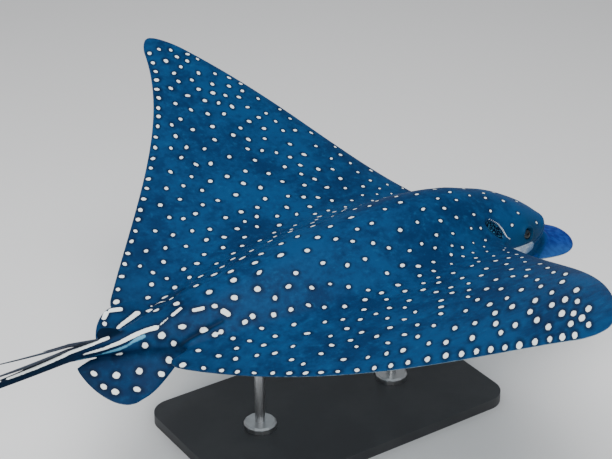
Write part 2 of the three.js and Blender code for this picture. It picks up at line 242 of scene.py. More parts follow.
def through_rows(rows, share):
    """Catmull-Rom curves through the rows of a table, share from 0 at the first to 1 at the last."""
    last = len(rows) - 1
    place = np.clip(share, 0, 1) * last
    i = np.minimum(place.astype(int), last - 1)
    w = (place - i)[:, None]
    before, a, b, after = (rows[np.clip(i + k, 0, last)] for k in (-1, 0, 1, 2))
    leave, arrive = (b - before) / 2, (after - a) / 2
    return ((2 * a - 2 * b + leave + arrive) * w**3 + (-3 * a + 3 * b - 2 * leave - arrive) * w**2
            + leave * w + a)


def ring_place(x, half_width, back, belly, fullness, centre, turn):
    across = np.cos(2 * np.pi * turn)
    over = np.sin(2 * np.pi * turn)
    rise = np.where(over > 0, back, belly) * np.sign(over) * np.abs(1 - across**2) ** fullness
    return np.stack([x, half_width * across, centre + rise], 1)


def trunk_place(share, turn):
    return ring_place(*through_rows(trunk_rows, share).T, turn)


tail_radius = {"root": 0.013, "whip": 0.0075, "tip": 0.0022, "whip_start": 0.06}
tail_flatness = 0.94


def tail_half_width(share):
    early = np.minimum(1, share / tail_radius["whip_start"])
    late = beyond(share, tail_radius["whip_start"])
    root = mix(tail_radius["root"], tail_radius["whip"], 1 - (1 - early) ** 1.5)
    whip = mix(tail_radius["whip"], tail_radius["tip"], late**0.8)
    return np.where(late > 0, whip, root)


trunk_rings, tail_rings = 176, 190
trunk_part = trunk_rings / (trunk_rings + tail_rings)


def spindle_place(share, turn):
    on_trunk = share <= trunk_part + 1e-9
    trunk_co = trunk_place(np.minimum(1, share / trunk_part), turn)
    along = beyond(share, trunk_part)
    radius = tail_half_width(along)
    half = radius * tail_flatness
    tail_co = ring_place(tail_start - tail_length * along, radius, half, half, 0.5, tail_height, turn)
    return np.where(on_trunk[:, None], trunk_co, tail_co)


spindle = rolled(trunk_rings + tail_rings, 56, spindle_place)

lobe = {"rear": 0.07, "front": 0.268, "half_width": 0.082, "root_thickness": 0.044, "tip_thickness": 0.014,
        "root_height": -0.048, "tip_height": -0.08, "side_droop": 0.016, "straight": 0.35, "roundness": 2.8}


def lobe_place(share, turn):
    reach = np.sin(share * np.pi / 2)
    plan = np.sqrt(np.maximum(1 - beyond(reach, lobe["straight"]) ** lobe["roundness"], 4e-4))
    half = mix(lobe["root_thickness"], lobe["tip_thickness"], reach) / 2 * np.minimum(1, plan * 2.5)
    centre = mix(lobe["root_height"], lobe["tip_height"], reach)
    x = mix(lobe["rear"], lobe["front"], reach)
    co = ring_place(x, lobe["half_width"] * plan, half, half, 0.5, centre, turn)
    co[:, 2] -= lobe["side_droop"] * (co[:, 1] / lobe["half_width"]) ** 2
    return co


bill = rolled(44, 40, lobe_place)

pelvic = {"front_root": 0.06, "height": -0.004, "overlap": 0.014,
          "thickness": 0.013, "edge": 0.004, "free": 0.6}
pelvic_sides = {
    1: {"front": -0.725, "rear": -0.928, "droop": -0.1, "reach": 0.096,
        "fullest": 1.25, "fullness": 0.7, "tip_out": 0.016, "rear_root": 0.02},
    -1: {"front": -0.765, "rear": -0.998, "droop": 0.66, "reach": 0.106,
         "fullest": 1.8, "fullness": 0.58, "tip_out": 0.001, "rear_root": 0.01},
}


def pelvic_root(own, share):
    return mix(pelvic["front_root"], own["rear_root"], np.minimum(1, share / pelvic["free"]))


def pelvic_place(side):
    own = pelvic_sides[side]

    def place(share, turn):
        share = 0.5 - 0.497 * np.cos(np.pi * share)
        swelling = own["reach"] * np.sin(np.pi * share ** own["fullest"]) ** own["fullness"]
        outer = own["tip_out"] * share + swelling
        inner = mix(-pelvic["overlap"], own["tip_out"], beyond(share, pelvic["free"]) ** 2)
        out = mix(inner, outer, (1 + np.cos(2 * np.pi * turn)) / 2)
        up = mix(pelvic["thickness"], pelvic["edge"], share) / 2 * np.sin(2 * np.pi * turn)
        u = pelvic_root(own, share) + out * math.cos(own["droop"]) + up * math.sin(own["droop"])
        h = pelvic["height"] - out * math.sin(own["droop"]) + up * math.cos(own["droop"])
        return np.stack([mix(own["front"], own["rear"], share), side * u, h], 1)

    return place


pelvic_fins = {side: rolled(46, 32, pelvic_place(side)) for side in (1, -1)}

dorsal = {"front": -0.878, "rear": -0.938, "root": 0.02, "top": 0.06, "thickness": 0.011, "edge": 0.003,
          "overhang": 0.008, "sweep": 0.72, "crown_start": 0.7}


def dorsal_place(share, turn):
    rise = np.sin(share * np.pi / 2)
    crown = np.sqrt(np.maximum(1 - beyond(rise, dorsal["crown_start"]) ** 2, 0.004))
    front = mix(dorsal["front"], dorsal["rear"], dorsal["sweep"] * rise**1.4)
    rear = dorsal["rear"] - dorsal["overhang"] * np.sin(2 * rise)
    middle = mix(front, rear, 0.6)
    fore_aft = (1 + np.cos(2 * np.pi * turn)) / 2
    x = mix(middle, mix(front, rear, fore_aft), crown)
    half = mix(dorsal["thickness"], dorsal["edge"], rise) / 2
    aside = half * np.sin(2 * np.pi * turn) * crown
    return np.stack([x, aside, mix(dorsal["root"], dorsal["top"], rise)], 1)


dorsal_fin = rolled(18, 24, dorsal_place)

# --------------------
# Joining. The shapes are made one closed skin, and the flesh is filled in where they meet: wide
# where the back runs out into the wings, narrow round the bill and the small fins.


def in_scene(name, data):
    thing = bpy.data.objects.new(name, data)
    bpy.context.scene.collection.objects.link(thing)
    return thing


def to_object(name, bm):
    mesh = bpy.data.meshes.new(name)
    bm.to_mesh(mesh)
    return in_scene(name, mesh)


def united(first, others):
    body = to_object("body", first)
    tools = [to_object("tool", bm) for bm in others]
    for tool in tools:
        union = body.modifiers.new("union", "BOOLEAN")
        union.operation = "UNION"
        union.solver = "MANIFOLD"
        union.object = tool
    bpy.context.view_layer.update()
    made = bpy.data.meshes.new_from_object(body.evaluated_get(bpy.context.evaluated_depsgraph_get()))
    whole = bmesh.new()
    whole.from_mesh(made)
    for mesh in [made, body.data, *[tool.data for tool in tools]]:
        bpy.data.meshes.remove(mesh)
    return whole


seam_gap = 2e-4


def seam_between(bm, *pair):
    """The vertices that lie on both of two shapes."""
    return [v.co.copy() for v in bm.verts if all(tree.find_nearest(v.co, seam_gap)[0] for tree in pair)]


def tree_of(points):
    tree = KDTree(len(points))
    for i, p in enumerate(points):
        tree.insert(p, i)
    tree.balance()
    return tree


def near_share(co, seam, reach):
    """1 on the seam, falling to 0 at that reach from it."""
    tree = tree_of(seam)
    away = np.array([tree.find(p)[2] for p in co])
    return 1 - ease(away, 0, reach)


def settled(bm, weight, rounds):
    """Each vertex moves towards the middle of its neighbours, by its weight, time after time."""
    bm.verts.index_update()
    ends = np.array([[e.verts[0].index, e.verts[1].index] for e in bm.edges])
    co = points_of(bm)
    count = np.bincount(ends.ravel(), minlength=len(co))[:, None]
    pull = 0.5 * weight[:, None]
    for _ in range(rounds):
        total = np.zeros_like(co)
        np.add.at(total, ends[:, 0], co[ends[:, 1]])
        np.add.at(total, ends[:, 1], co[ends[:, 0]])
        co += pull * (total / count - co)
    move_to(bm, co)


shapes = {"disc": disc, "spindle": spindle, "bill": bill, "dorsal": dorsal_fin, **pelvic_fins}
trees = {name: BVHTree.FromBMesh(shape) for name, shape in shapes.items()}
filled = {"disc": 0.06, "bill": 0.02, "dorsal": 0.008, 1: 0.016, -1: 0.016}

skin_bm = united(spindle, [shapes[name] for name in filled])
bmesh.ops.remove_doubles(skin_bm, verts=skin_bm.verts, dist=3e-4)
bmesh.ops.dissolve_degenerate(skin_bm, edges=skin_bm.edges, dist=1e-5)
bmesh.ops.triangulate(skin_bm, faces=[f for f in skin_bm.faces if len(f.verts) > 4])

co = points_of(skin_bm)
weight = np.zeros(len(co))
for name, reach in filled.items():
    seam = seam_between(skin_bm, trees[name], trees["spindle"])
    if seam:
        weight = np.maximum(weight, near_share(co, seam, reach))
settled(skin_bm, weight, 40)

# --------------------
# The head and the openings of the body, pressed and raised in the finer skin there: the brows and
# sockets of the eyes, the spiracles behind them, the fold over the mouth, the nasal flap, and the
# gill slits and vent below. Each is shaped on both sides at once.


def middles_of(bm):
    return np.array([f.calc_center_median() for f in bm.faces])


def refined(bm, inside, cuts=1):
    bm.faces.ensure_lookup_table()
    edges = {e for f, take in zip(bm.faces, inside(middles_of(bm))) if take for e in f.edges}
    bmesh.ops.subdivide_edges(bm, edges=list(edges), cuts=cuts, use_grid_fill=True)
    bmesh.ops.triangulate(bm, faces=[f for f in bm.faces if len(f.verts) > 4])


def bell(distance, width):
    return np.exp(-((distance / width) ** 2))


# Every swelling and groove of the skin: its height, and how far it spreads.
swells = {
    "brow": (0.0065, 0.031), "cheek": (0.003, 0.028), "lid": (0.0016, 0.0022), "hood": (0.0042, 0.005),
    "cheek_edge": (0.002, 0.007), "cheek_crease": (-0.006, 0.0045), "spiracle_lip": (0.003, 0.0032),
    "strap": (0.003, 0.0055), "strap_crease": (-0.005, 0.005), "mouth": (-0.006, 0.0035),
    "mouth_rim": (0.0018, 0.004), "nasal_flap": (0.0028, 0.009), "nostril": (-0.005, 0.0055),
    "corner_edge": (0.0018, 0.006), "corner_groove": (-0.0045, 0.005),
    "gill_rim": (0.0012, 0.004), "gill_slit": (-0.0042, 0.0022), "vent": (-0.004, 0.004),
}


def swell(kind, distance):
    height, spread = swells[kind]
    return height * bell(distance, spread)


def raise_by(bm, height):
    """Moves each vertex out along its normal by its height."""
    bm.normal_update()
    co = points_of(bm)
    move_to(bm, co + np.array([v.normal for v in bm.verts]) * height(co)[:, None])


def one_side(co):
    return np.stack([co[:, 0], np.abs(co[:, 1]), co[:, 2]], 1)


def in_axes(co, centre, *axes):
    away = one_side(co) - centre
    return [away @ axis for axis in axes]


def near(co, centre, reach):
    return np.linalg.norm(one_side(co) - centre, axis=1) < reach


def within(co, low, high):
    """Which points lie between two corners that are given for the left side."""
    side = one_side(co)
    return ((side > low) & (side < high)).all(1)


eye_centre = np.array([0.06, 0.094, 0.008])
eye_axis = np.array([0.22, 0.96, 0.17])
eye_axis /= np.linalg.norm(eye_axis)
eye_radius = 0.016

spiracle_centre = np.array([-0.024, 0.104, 0.043])
spiracle_long = np.array([0.6, 0.26, -0.757])
spiracle_out = np.array([0.05, 0.93, 0.36])
spiracle_out = spiracle_out - spiracle_long * (spiracle_out @ spiracle_long)
spiracle_out /= np.linalg.norm(spiracle_out)
spiracle_front = np.cross(spiracle_out, spiracle_long)
spiracle_front *= np.sign(spiracle_front[0])
spiracle_half = (0.036, 0.0155)
spiracle_lip = np.array([
    (-0.042, 0.091, 0.068), (-0.031, 0.091, 0.066), (-0.022, 0.093, 0.06), (-0.012, 0.097, 0.051),
    (-0.004, 0.101, 0.036), (0.001, 0.108, 0.02), (0.01, 0.107, 0.012)])

gill_slits = [{"x": -0.1 - 0.027 * i, "u": 0.108 - 0.007 * i, "half": 0.013 - 0.0012 * i} for i in range(5)]
gill_bow = 6
mouth_x, mouth_bow, mouth_half = 0.04, 2.2, 0.04
bill_fold = np.array([
    (0.1, 0.08, -0.064), (0.127, 0.075, -0.056), (0.168, 0.048, -0.055), (0.192, 0.02, -0.057),
    (0.198, 0.0, -0.058)])
# Where the rear corner of each wing lies free over the root of the pelvic fin.
corner_fold = np.array([
    (-0.705, 0.086, 0.033), (-0.735, 0.083, 0.026), (-0.77, 0.079, 0.017), (-0.8, 0.074, 0.004)])


def from_segment(p, a, b):
    """How far along the segment its nearest point lies, from 0 to 1, and the way from there to p."""
    t = np.clip((p - a) @ (b - a) / ((b - a) @ (b - a)), 0, 1)
    return t, p - a - t[:, None] * (b - a)


def to_path(p, path):
    ways = [from_segment(p, a, b)[1] for a, b in zip(path, path[1:])]
    return np.min(np.linalg.norm(ways, axis=2), axis=0)


def to_lip(co):
    """Distance from the front lip of the spiracle, measured over the skin."""
    face = np.stack([spiracle_long, spiracle_front], 1)
    return to_path(one_side(co) @ face, spiracle_lip @ face)


def by_corner(co):
    return within(co, (-0.83, -1, -1), (-0.68, 1, 1)) & (to_path(one_side(co), corner_fold) < 0.022)


refined(skin_bm, lambda co: within(co, (-0.075, -1, -0.1), (1, 0.135, 1)))
refined(skin_bm, lambda co: within(co, (-0.232, 0.055, -1), (-0.08, 0.135, 0)), 2)
refined(skin_bm, lambda co: near(co, eye_centre, 0.032) | near(co, spiracle_centre, 0.048))
refined(skin_bm, by_corner, 2)
head_part = within(points_of(skin_bm), (-0.1, -1, -1), (1, 0.15, 1))
settled(skin_bm, 0.6 * head_part, 4)


def brow(co):
    r = np.linalg.norm(one_side(co) - eye_centre - [0.004, 0, 0.006], axis=1)
    cheek = np.linalg.norm((one_side(co) - [0.075, 0.085, -0.004]) / [1.6, 1, 1], axis=1)
    return swell("brow", r) + swell("cheek", cheek)


def under_fold(co):
    """The cheek overhangs a crease that runs from the wing's root forward under the eye."""
    x, u, h = one_side(co).T
    line = -0.016 + 0.022 * ease(x, 0.105, 0.155)
    along = ease(x, -0.005, 0.03) * (1 - ease(x, 0.15, 0.166)) * ease(u, 0.02, 0.05)
    return along * (swell("cheek_edge", h - line - 0.008) + swell("cheek_crease", h - line + 0.003))


def in_spiracle(co):
    """Places along, across and out from the spiracle, and 0 to 1 from its middle to its rim."""
    along, across, out = in_axes(co, spiracle_centre, spiracle_long, spiracle_front, spiracle_out)
    return along, across, out, np.sqrt((along / spiracle_half[0]) ** 2 + (across / spiracle_half[1]) ** 2)


def spiracle_height(co):
    along, across, out, rim_share = in_spiracle(co)
    steep = 1 - ease(rim_share, 0.66, 0.98)
    gentle = 1 - ease(rim_share, 0.15, 1.15)
    depth = 0.01 + 0.005 * bell(along + 0.022, 0.012)
    pit = mix(gentle, steep, ease(across, -0.004, 0.004)) * depth
    folds = 0.0011 * np.sin(across * 1100 + 30 * along) * (1 - ease(rim_share, 0.5, 0.95))
    return np.where(out > -0.03, swell("spiracle_lip", to_lip(co)) - pit + folds, 0)


def bill_height(co):
    """The strap of skin that folds round the root of the bill, with a deep crease behind it."""
    side = one_side(co)
    crease = bill_fold - [0.011, 0, 0]
    return swell("strap", to_path(side, bill_fold)) + swell("strap_crease", to_path(side, crease))


def mouth_height(co):
    x, u, h = one_side(co).T
    ahead = x - (mouth_x + mouth_bow * u**2)
    mouth = (swell("mouth", ahead) + swell("mouth_rim", ahead + 0.008)) * (1 - ease(u, mouth_half, 0.05))
    fringe = 0.0006 * np.sin(u * 900)
    flap = swell("nasal_flap", ahead - 0.016 - fringe) * (1 - ease(u, 0.03, 0.042))
    nostril = swell("nostril", np.hypot((x - 0.064) * 0.55, u - 0.043))
    return np.where((h < -0.045) & (x < 0.12), mouth + flap + nostril, 0)


def corner_height(co):
    side = one_side(co)
    edge = swell("corner_edge", to_path(side, corner_fold + [0, 0.006, 0]))
    groove = swell("corner_groove", to_path(side, corner_fold - [0.004, 0.006, 0]))
    return np.where(side[:, 0] < -0.6, edge + groove, 0)


def to_slit(x, u, slit, forward=0):
    """Distance from a gill slit, or from a line forward of it."""
    line = slit["x"] + gill_bow * (u - slit["u"]) ** 2
    return np.hypot(x - line - forward, np.maximum(0, np.abs(u - slit["u"]) - slit["half"]))


def gill_height(co):
    x, u, h = one_side(co).T
    rise = sum(swell("gill_rim", to_slit(x, u, slit, 0.005)) + swell("gill_slit", to_slit(x, u, slit))
               for slit in gill_slits)
    return np.where(h < 0, rise + swell("vent", np.hypot((x + 0.8) / 3.5, u)), 0)


for height in (brow, under_fold, spiracle_height, bill_height, mouth_height, corner_height, gill_height):
    raise_by(skin_bm, height)

# The skin closes round each eyeball: it sinks behind the ball and stands up a little as a lid.
lid_radius, hood_radius = 0.0152, 0.015
co = points_of(skin_bm)
deep, = in_axes(co, eye_centre, eye_axis)
off_axis = np.linalg.norm(one_side(co) - eye_centre - deep[:, None] * eye_axis, axis=1)
hood = swell("hood", off_axis - hood_radius) * ease(co[:, 2] - eye_centre[2], -0.002, 0.01)
sink = 0.012 * (1 - ease(off_axis, 0.01, 0.0138))
push = np.where(deep > -0.004, swell("lid", off_axis - lid_radius) + hood - sink, 0)[:, None] * eye_axis
push[:, 1] *= np.sign(co[:, 1])
co += push
move_to(skin_bm, co)
settled(skin_bm, 0.35 * (near(co, eye_centre, 0.03) | near(co, spiracle_centre, 0.05)), 2)

# --------------------
# The markings. Round white spots lie on the dark back, evenly spread but never in step: closer and
# smaller on the shoulders and margins, larger down the middle, long ovals far out on the right wing.
# Each face of the skin is told the spot nearest to it, and the paint draws that spot's true edge.

# Long white strokes, each a path over the back with its half width at the two ends: on the left
# pelvic fin, down both flanks of the tail's root, and along the tail.
strokes = [
    ([(-0.838, 0.111, 0.008), (-0.857, 0.116, 0.007)], 0.0058, 0.005),
    ([(-0.868, 0.114, 0.006), (-0.88, 0.102, 0.006)], 0.005, 0.0046),
    ([(-0.886, 0.088, 0.005), (-0.887, 0.084, 0.005)], 0.0045, 0.004),
    ([(-0.812, 0.086, 0.006), (-0.831, 0.078, 0.005), (-0.851, 0.071, 0.005), (-0.868, 0.064, 0.004)],
     0.0062, 0.0036),
    ([(-0.828, -0.025, 0.038), (-0.847, -0.021, 0.036), (-0.866, -0.02, 0.034)], 0.0052, 0.0046),
    ([(-0.866, -0.02, 0.034), (-0.907, -0.021, 0.028), (-0.942, -0.018, 0.024), (-0.985, -0.013, 0.024)],
     0.0046, 0.0016),
    ([(-0.925, -0.005, 0.037), (-0.973, -0.007, 0.035), (-1.02, -0.007, 0.033)], 0.0036, 0.0034),
    ([(-1.02, -0.007, 0.033), (-1.08, -0.005, 0.031), (-1.14, -0.003, 0.031)], 0.0034, 0.0026),
    ([(-1.152, -0.002, 0.031), (-1.2, -0.001, 0.031)], 0.0024, 0.0016),
    ([(-0.744, -0.031, 0.051), (-0.727, -0.038, 0.053)], 0.0046, 0.0046),
    ([(-0.696, -0.067, 0.047), (-0.691, -0.077, 0.042)], 0.0056, 0.005),
    ([(-0.784, -0.015, 0.047), (-0.762, -0.008, 0.052)], 0.0042, 0.0036),
    ([(-0.818, -0.024, 0.039), (-0.796, -0.017, 0.045)], 0.0016, 0.0012),
    ([(-0.776, 0.092, 0.01), (-0.752, 0.078, 0.022)], 0.0013, 0.001),
    ([(-0.735, -0.097, 0.018), (-0.722, -0.099, 0.02)], 0.0022, 0.0022),
    ([(-0.908, -0.022, 0.004), (-0.922, -0.023, 0.0)], 0.0042, 0.0036),
]
# A painted sheen: a pale blue band below the long white stroke on the right flank of the tail's root.
sheen_bands = [
    ([(-0.858, -0.03, 0.026), (-0.909, -0.025, 0.017), (-0.96, -0.018, 0.012), (-1.0, -0.012, 0.013)],
     0.003, 0.0016),
]
far = 0.05


def to_strokes(co, drawn):
    nearest_edge = np.full(len(co), far)
    for path, first, last in drawn:
        path = np.array(path)
        for i, (a, b) in enumerate(zip(path, path[1:])):
            t, gap = from_segment(co, a, b)
            slack = 0.012 * np.maximum(ease(co[:, 0], -0.9, -0.84), ease(co[:, 1], 0.035, 0.05))
            away = np.hypot(np.hypot(gap[:, 0], gap[:, 1]), np.maximum(0, np.abs(gap[:, 2]) - slack))
            half = mix(first, last, (i + t) / (len(path) - 1))
            nearest_edge = np.minimum(nearest_edge, away - half)
    return nearest_edge


refined(skin_bm, lambda co: to_strokes(co, strokes + sheen_bands) < 0.007)
flat = points_of(skin_bm)
skin_bm.normal_update()
middles = middles_of(skin_bm)
face_normals = np.array([f.normal for f in skin_bm.faces])
areas = np.array([f.calc_area() for f in skin_bm.faces])


def source_distances(co):
    return {name: np.array([tree.find_nearest(p)[3] for p in co]) for name, tree in trees.items()}


def fin_side(co, side):
    """Height above the middle sheet of a pelvic fin."""
    own = pelvic_sides[side]
    share = np.clip((own["front"] - co[:, 0]) / (own["front"] - own["rear"]), 0, 1)
    out = np.abs(co[:, 1]) - pelvic_root(own, share)
    return out * math.sin(own["droop"]) + (co[:, 2] - pelvic["height"]) * math.cos(own["droop"])


def body_side(co):
    """Height above the line where the dark back of the body meets its white underside."""
    x, u, h = co.T
    cheek = mix(-0.015, -0.05, ease(x, 0.08, 0.12))
    on_body = h - cheek * ease(x, -0.02, 0.02)
    by_fin = np.where(u > 0, fin_side(co, 1), fin_side(co, -1))
    rear = mix(on_body, by_fin, ease(-x, 0.74, 0.8))
    return mix(rear, 0.02, ease(-x, 0.86, 0.93))


def bill_side(co):
    """Height above the middle sheet of the bill."""
    ahead = (co[:, 0] - lobe["rear"]) / (lobe["front"] - lobe["rear"])
    sheet = mix(lobe["root_height"], lobe["tip_height"], ahead)
    return co[:, 2] - sheet + lobe["side_droop"] * (co[:, 1] / lobe["half_width"]) ** 2


always_dark = 0.02
sides = {"disc": flat[:, 2], "spindle": body_side(flat), "dorsal": np.full(len(flat), always_dark),
         "bill": bill_side(flat), 1: fin_side(flat, 1), -1: fin_side(flat, -1)}
distances = source_distances(flat)
weights = {name: np.exp(-distances[name] / 0.0025) + 1e-12 for name in sides}
over = sum(weights[name] * sides[name] for name in sides) / sum(weights.values())
# Darker paint at the tail's root, over the dorsal fin and round its foot, and painted shade along the
# groove where each wing's free rear corner lies over the pelvic fin.
by_dorsal = bell(distances["dorsal"], 0.006) * (flat[:, 2] > 0.034)
corner_groove_shade = bell(to_path(one_side(flat), corner_fold - [0.003, 0.005, 0]), 0.0055)
darkening_and_groove_shade = np.maximum(np.maximum(ease(-flat[:, 0], 0.93, 1.04), by_dorsal), corner_groove_shade)
nearest_source = np.argmin(list(source_distances(middles).values()), axis=0)
from_source = {name: nearest_source == i for i, name in enumerate(trees)}

rng = np.random.default_rng(7)
middle_spacing, middle_radius = 0.035, 0.0046
fin_radius, fin_radius_spread = 0.0062, 0.001
row_step, row_inset = 0.034, 0.011


def spacing_at(p):
    x, u = p[:, 0], np.abs(p[:, 1])
    trunk = 1 - ease(u, 0.05, 0.14)
    shoulder = bell(u - 0.18, 0.075) * ease(x, -0.45, -0.15)
    tips = ease(u, 0.45, 0.8)
    near_tip = ease(-p[:, 1], 0.55, 0.75)
    return middle_spacing + 0.006 * trunk - 0.0088 * shoulder - 0.0095 * tips - 0.0036 * near_tip


def radius_at(p):
    x, u = p[:, 0], p[:, 1]
    near_tip = ease(-u, 0.3, 0.68)
    far_tip = ease(u, 0.5, 0.8)
    rear_body = (1 - ease(np.abs(u), 0.06, 0.16)) * ease(-x, 0.25, 0.75)
    shoulder = bell(np.abs(u) - 0.17, 0.07) * ease(x, -0.35, -0.12)
    leading = 1 - ease(leading_edge(u) - x, 0.04, 0.14)
    grown = 0.004 * near_tip + 0.0006 * far_tip + 0.0022 * rear_body
    return middle_radius + grown - 0.0017 * shoulder - 0.0007 * leading * (1 - near_tip)


def on_top(p):
    """Where the back may carry a spot."""
    x, u, h = p.T
    bare_front = np.where(u < 0, 0.026 + 0.024 * ease(-u, 0.45, 0.7), 0.016) * ease(np.abs(u), 0.1, 0.16)
    off_rear = x - trailing_edge(u) > 0.006
    wing = (np.abs(u) > 0.1) & (leading_edge(u) - x > bare_front) & off_rear & (u > -0.8)
    trunk = (np.abs(u) <= 0.1) & (x < 0.11) & (x > -0.8) & (h > 0.012)
    return (wing & ((np.abs(u) > 0.14) | (x > -0.8))) | trunk


facing = (face_normals[:, 2] > 0.15) | ((middles[:, 0] > -0.12) & (middles[:, 0] < 0.1))
body_faces = from_source["disc"] | from_source["spindle"]
clear_of_organs = ~near(middles, eye_centre, 0.026) & ~near(middles, spiracle_centre, 0.045)
usable = facing & body_faces & clear_of_organs & on_top(middles) & (body_side(middles) > 0.005)
share = areas * usable
picked = rng.choice(len(middles), 9000, p=share / share.sum())
candidates = middles[picked] + rng.normal(0, 0.0015, (len(picked), 3)) * [1, 1, 0]
candidates = candidates[on_top(candidates)]

skin_tree = BVHTree.FromBMesh(skin_bm)


def surface_point(x, u):
    """The point of the back over a place of the flat plan."""
    hit = skin_tree.ray_cast(Vector((x, u, 0.5)), Vector((0, 0, -1)))[0]
    return None if hit is None else np.array(hit)


# Spots placed one by one: beside the eyes and spiracles, along the spine of the head, round the
# tail's root and on the pelvic fins; then a row along each wing's rear margin.
head_spots = [(-0.118, -0.089), (-0.068, -0.085), (-0.014, -0.074), (0.063, -0.075), (0.027, -0.098),
              (-0.088, -0.044), (-0.04, -0.027), (0.0, -0.034), (0.012, -0.009), (0.048, -0.039),
              (0.035, 0.06), (0.085, 0.05), (-0.06, 0.08), (-0.015, 0.066)]
rear_spots = [(-0.782, -0.05), (-0.747, -0.074), (-0.789, 0.077), (-0.826, -0.044), (-0.735, -0.097),
              (-0.722, -0.099), (-0.671, -0.108), (-0.652, -0.107), (-0.713, -0.128), (-0.692, -0.156),
              (-0.662, -0.055)]
fin_spots = [(-0.811, -0.063), (-0.863, -0.041), (-0.972, -0.029), (-0.932, -0.044),
             (-0.887, -0.054), (-0.852, -0.077), (-0.826, -0.066), (-0.966, -0.054), (-0.95, -0.068),
             (-0.908, -0.076), (-0.77, 0.118)]
placed = head_spots + rear_spots + fin_spots
for side in (1, -1):
    reach = corner["u"] + 0.052
    while reach < 0.82:
        inset = row_inset + 0.004 * rng.random() + 0.013 * (side < 0) * bell(reach - 0.54, 0.08)
        placed.append((trailing_edge(side * reach) + inset, side * reach))
        slope = (trailing_edge(reach + 0.001) - trailing_edge(reach)) / 0.001
        step = (row_step - 0.006 * float(ease(reach, 0.4, 0.8))) * (0.9 + 0.25 * rng.random())
        reach += step / math.hypot(1, float(slope))
spots = [p for p in (surface_point(float(x), float(u)) for x, u in placed) if p is not None]
candidates = candidates[to_strokes(candidates, strokes) > 0.014]
tip_heading = 0.86
tip_longer = 0.95


def drawn_out(u):
    """0 to 1: how far out on the right wing, where spots and their gaps are longer one way."""
    return ease(-u, 0.3, 0.66)


def spot_gap(p, spot):
    """Distance from a spot, with that longer way measured short."""
    way = np.array([math.cos(tip_heading), math.sin(tip_heading), 0])
    away = p - spot
    longer = 1 + tip_longer * drawn_out(p[:, 1])
    return np.sqrt(np.maximum(0, (away**2).sum(1) - (away @ way) ** 2 * (1 - 1 / longer**2)))


room = np.full(len(candidates), np.inf)
wanted = spacing_at(candidates) * (1 + 0.1 * rng.standard_normal(len(candidates)).clip(-1.5, 1.5))
for spot in spots:
    room = np.minimum(room, spot_gap(candidates, spot) / wanted)
while True:
    best = int(np.argmax(room))
    if room[best] < 1:
        break
    spots.append(candidates[best])
    room = np.minimum(room, spot_gap(candidates, candidates[best]) / wanted)

spots = np.array(spots)
radii = radius_at(spots) * (0.86 + 0.28 * rng.random(len(spots)))
on_fins = spots[:, 0] < -0.83
radii[on_fins] = fin_radius + fin_radius_spread * rng.random(on_fins.sum())
outward = drawn_out(spots[:, 1])
stretch = mix(0.1 + 0.4 * rng.random(len(spots)) ** 2, 1.45 + 0.4 * rng.random(len(spots)), outward)
heading = mix(rng.uniform(0, math.pi, len(spots)), tip_heading, ease(outward, 0, 0.3))
axes = np.stack([np.cos(heading), np.sin(heading), np.zeros(len(spots))], 1)
axes *= np.sqrt(1 - 1 / (1 + stretch[:, None]) ** 2)
radii = radii / np.sqrt(1 + stretch)

spot_tree = tree_of(spots)


def nearest_spot(p):
    def edge_distance(found):
        gap = np.array(p) - spots[found[1]]
        return math.sqrt(max(gap @ gap - (gap @ axes[found[1]]) ** 2, 0)) / radii[found[1]]

    return min(spot_tree.find_n(p, 4), key=edge_distance)[1]


nearest = np.array([nearest_spot(p) for p in middles])

# What the paint needs to know of each point: how far it is from an edge, or how much a tint counts.
side = one_side(flat)
x, u, h = side.T
at_spiracle = near(flat, spiracle_centre, 0.07)
ahead = x + 12.6 * u**2 - 0.198 - 0.06 * ease(h, -0.04, -0.02)
written = {
    "over": over, "darkening_and_groove_shade": darkening_and_groove_shade,
    "stroke": to_strokes(flat, strokes), "sheen_band": to_strokes(flat, sheen_bands),
    "lip": np.where(at_spiracle, to_lip(flat) - 0.0009, far),
    "pit": np.where(at_spiracle, 1 - ease(in_spiracle(flat)[3], 0.55, 1.0), 0),
    "gill": np.where(h < 0, np.min([to_slit(x, u, slit) for slit in gill_slits], axis=0), far),
    "fold": np.where(x > 0.05, to_path(side, bill_fold), far),
    "ahead": np.where((x > 0.07) & (u < 0.1), ahead, -0.1),
    "cheek": bell(np.linalg.norm((side - [0.072, 0.094, 0.002]) / [1.25, 1, 1], axis=1), 0.04),
    "gape": ease(x, 0.02, 0.05) * (1 - ease(x, 0.13, 0.16)) * ease(u, 0.05, 0.075) * (h < 0),
}

# --------------------
# The finished skin: the plan and the markings are written on it, it is unwrapped from the flat
# shape, and then it is bent into its pose.

skin_bm.verts.index_update()
skin_bm.faces.index_update()
uv_layer = skin_bm.loops.layers.uv.new("OFBake")
map_side = 1.9
belly_scale, bill_scale = 0.42, 0.9
tail_strip, strip_height = 0.82, 0.045
tail_from = -1.0


def girth(co, extreme):
    """Distance out from the middle line, measured over the side of the body."""
    x, u, h = co.T
    drop = np.maximum(0, np.abs(np.interp(-x, -trunk_rows[:, 0], extreme) - h))
    return u + np.sign(u) * 0.75 * drop * ease(x, -0.35, -0.05)


def tail_turn(co, below):
    rise = np.where(below, -1, 1) * (co[:, 2] - tail_height)
    return 0.013 * np.arctan2(co[:, 1], np.maximum(rise, 1e-5))


